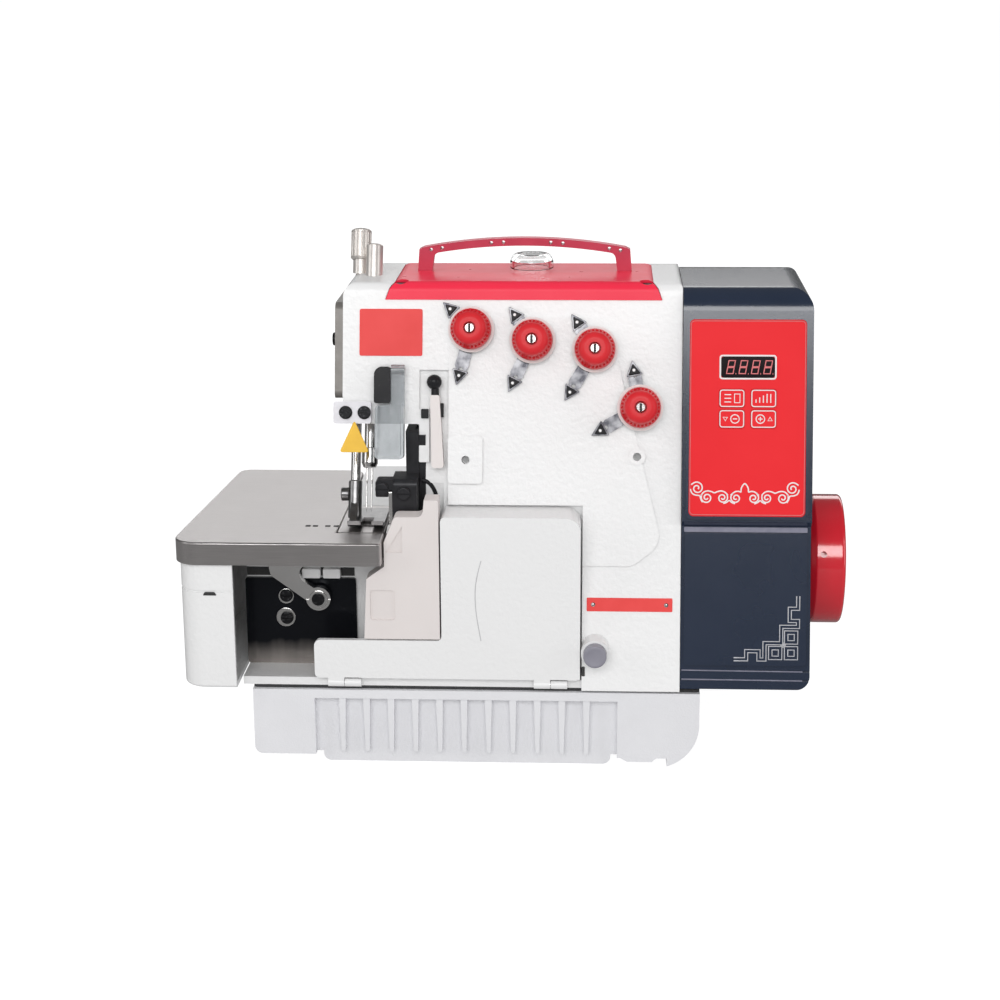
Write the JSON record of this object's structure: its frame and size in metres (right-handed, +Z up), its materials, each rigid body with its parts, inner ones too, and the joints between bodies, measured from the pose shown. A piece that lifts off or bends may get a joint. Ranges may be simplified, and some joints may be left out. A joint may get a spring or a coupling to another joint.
{
  "type": "overlock sewing machine head",
  "caption": "Overlock sewing machine head: leaning cast column and arm, side cloth plate, tension knobs, hinged front cover, ribbed oil pan and built-on motor with handwheel.",
  "frame": {"origin": "centre of the footprint, on the plane that the oil pan stands on", "axes": "+X to the operator's right, +Y to the back, +Z up; the operator faces the -Y side"},
  "size_m": [0.4088, 0.1924, 0.3183],
  "materials": {
    "white_enamel": "gloss enamel with a light orange-peel grain",
    "cream_plastic": "satin",
    "red_gloss": "gloss",
    "navy_shell": "satin",
    "cast_aluminium": "as cast, satin",
    "grey_paint": "gloss enamel",
    "plate_steel": "brushed",
    "bright_chrome": "polished plating",
    "black_steel": "blackened, satin",
    "black_plastic": "gloss",
    "pale_felt": "matte",
    "grey_plastic": "satin",
    "clear_plastic": "clear polished plastic",
    "seal_rubber": "matte",
    "iron_core": "laminated",
    "dark_window": "gloss",
    "green_board": "lacquered"
  },
  "bodies": {
    "head": {"main_casting": "white_enamel", "rear_cover": "grey_paint", "slotted_screws": "bright_chrome", "oil_pan": "cast_aluminium", "drain_plug": "bright_chrome", "pan_gasket": "seal_rubber", "top_cover": "red_gloss", "thread_handle": "red_gloss", "oil_sight": "clear_plastic", "face_plate": "cast_aluminium", "guard_bracket": "white_enamel", "eye_guard_block": "black_plastic", "oil_cup": "cream_plastic", "oil_cup_plug": "black_plastic", "needle_cap": "bright_chrome", "lock_nut": "bright_chrome", "needle_plate": "plate_steel", "plate_hinge_pin": "bright_chrome", "cover_hinge_pins": "bright_chrome", "chip_chute": "cream_plastic", "chamber_plate": "bright_chrome", "lower_knife": "plate_steel", "knife_guide": "black_steel", "thread_brackets": "bright_chrome", "tension_posts": "bright_chrome", "tension_discs": "pale_felt", "shaft_bearings": "bright_chrome", "motor_stator": "iron_core", "motor_housing": "navy_shell", "control_panel": "red_gloss", "display_window": "dark_window", "control_board": "green_board"},
    "drive": {"main_shaft": "plate_steel", "eccentrics": "black_steel", "motor_rotor": "iron_core", "handwheel": "red_gloss"},
    "needle": {"needle_bar": "bright_chrome", "needle_clamp": "bright_chrome", "needles": "bright_chrome"},
    "knife": {"upper_knife": "plate_steel", "knife_holder": "black_steel"},
    "looper_low": {"lower_looper": "bright_chrome"},
    "looper_high": {"upper_looper": "bright_chrome"},
    "feed": {"feed_dog": "bright_chrome"},
    "presser": {"presser_bar": "bright_chrome", "presser_foot": "plate_steel"},
    "pressure_dial": {"pressure_screw": "bright_chrome"},
    "cloth": {"cloth_plate": "plate_steel", "side_cover": "white_enamel"},
    "front": {"front_cover": "white_enamel"},
    "guard": {"eye_guard": "clear_plastic"},
    "tension_1": {"tension_knob_1": "red_gloss"},
    "tension_2": {"tension_knob_2": "red_gloss"},
    "tension_3": {"tension_knob_3": "red_gloss"},
    "tension_4": {"tension_knob_4": "red_gloss"},
    "stitch": {"stitch_button": "grey_plastic"},
    "key_1": {"panel_key_1": "red_gloss"},
    "key_2": {"panel_key_2": "red_gloss"},
    "key_3": {"panel_key_3": "red_gloss"},
    "key_4": {"panel_key_4": "red_gloss"}
  },
  "joints": [
    {"name": "drive_turn", "type": "hinge", "parent": "head", "child": "drive", "pos_m": [-0.00063, 0.0028, 0.11], "axis": [1, 0, 0], "continuous": true},
    {"name": "needle_stroke", "type": "slide", "parent": "head", "child": "needle", "axis": [0, 0.3907, 0.9205], "range_m": [-0.022, 0]},
    {"name": "knife_stroke", "type": "slide", "parent": "head", "child": "knife", "axis": [0, 0, 1], "range_m": [-0.007, 0]},
    {"name": "looper_low_rock", "type": "hinge", "parent": "head", "child": "looper_low", "pos_m": [-0.12133, -0.0532, 0.1008], "axis": [0, 1, 0], "range_deg": [-14, 0]},
    {"name": "looper_high_rock", "type": "hinge", "parent": "head", "child": "looper_high", "pos_m": [-0.06463, -0.0532, 0.089], "axis": [0, 1, 0], "range_deg": [0, 12]},
    {"name": "feed_travel", "type": "slide", "parent": "head", "child": "feed", "axis": [0, 1, 0], "range_m": [-0.002, 0.002]},
    {"name": "presser_lift", "type": "slide", "parent": "head", "child": "presser", "axis": [0, 0.3907, 0.9205], "range_m": [0, 0.006], "stiffness_N_per_m": 500, "springref_m": -0.01},
    {"name": "pressure_turn", "type": "hinge", "parent": "head", "child": "pressure_dial", "pos_m": [-0.09963, 0.01632, 0.29328], "axis": [0, 0.3907, 0.9205], "range_deg": [-720, 720]},
    {"name": "cloth_swing", "type": "hinge", "parent": "head", "child": "cloth", "pos_m": [-0.17863, 0.0648, 0.128], "axis": [0, 0, 1], "range_deg": [-80, 0]},
    {"name": "front_swing", "type": "hinge", "parent": "head", "child": "front", "pos_m": [-0.00063, -0.0832, 0.054], "axis": [1, 0, 0], "range_deg": [0, 90]},
    {"name": "guard_swing", "type": "hinge", "parent": "head", "child": "guard", "pos_m": [-0.07138, -0.04305, 0.24071], "axis": [1, 0, 0], "range_deg": [-110, 0]},
    {"name": "tension_1_turn", "type": "hinge", "parent": "head", "child": "tension_1", "pos_m": [-0.02673, -0.04025, 0.26561], "axis": [0, -0.9703, 0.2419], "range_deg": [-720, 720]},
    {"name": "tension_2_turn", "type": "hinge", "parent": "head", "child": "tension_2", "pos_m": [0.01037, -0.04182, 0.25931], "axis": [0, -0.9703, 0.2419], "range_deg": [-720, 720]},
    {"name": "tension_3_turn", "type": "hinge", "parent": "head", "child": "tension_3", "pos_m": [0.04807, -0.04311, 0.25411], "axis": [0, -0.9703, 0.2419], "range_deg": [-720, 720]},
    {"name": "tension_4_turn", "type": "hinge", "parent": "head", "child": "tension_4", "pos_m": [0.07557, -0.05157, 0.22021], "axis": [0, -0.9703, 0.2419], "range_deg": [-720, 720]},
    {"name": "stitch_press", "type": "slide", "parent": "head", "child": "stitch", "axis": [0, 1, 0], "range_m": [0, 0.004], "stiffness_N_per_m": 400, "springref_m": -0.003},
    {"name": "key_1_press", "type": "slide", "parent": "head", "child": "key_1", "axis": [0, 0.9703, -0.2419], "range_m": [0, 0.0006], "stiffness_N_per_m": 300, "springref_m": -0.001},
    {"name": "key_2_press", "type": "slide", "parent": "head", "child": "key_2", "axis": [0, 0.9703, -0.2419], "range_m": [0, 0.0006], "stiffness_N_per_m": 300, "springref_m": -0.001},
    {"name": "key_3_press", "type": "slide", "parent": "head", "child": "key_3", "axis": [0, 0.9703, -0.2419], "range_m": [0, 0.0006], "stiffness_N_per_m": 300, "springref_m": -0.001},
    {"name": "key_4_press", "type": "slide", "parent": "head", "child": "key_4", "axis": [0, 0.9703, -0.2419], "range_m": [0, 0.0006], "stiffness_N_per_m": 300, "springref_m": -0.001}
  ],
  "couplings": [
    {"joint": "knife_stroke", "follows": "needle_stroke", "ratio": 0.31802},
    {"joint": "looper_low_rock", "follows": "needle_stroke", "rad_per_m": 11.101},
    {"joint": "looper_high_rock", "follows": "needle_stroke", "rad_per_m": -9.5152},
    {"joint": "feed_travel", "follows": "needle_stroke", "ratio": 0.09086}
  ]
}
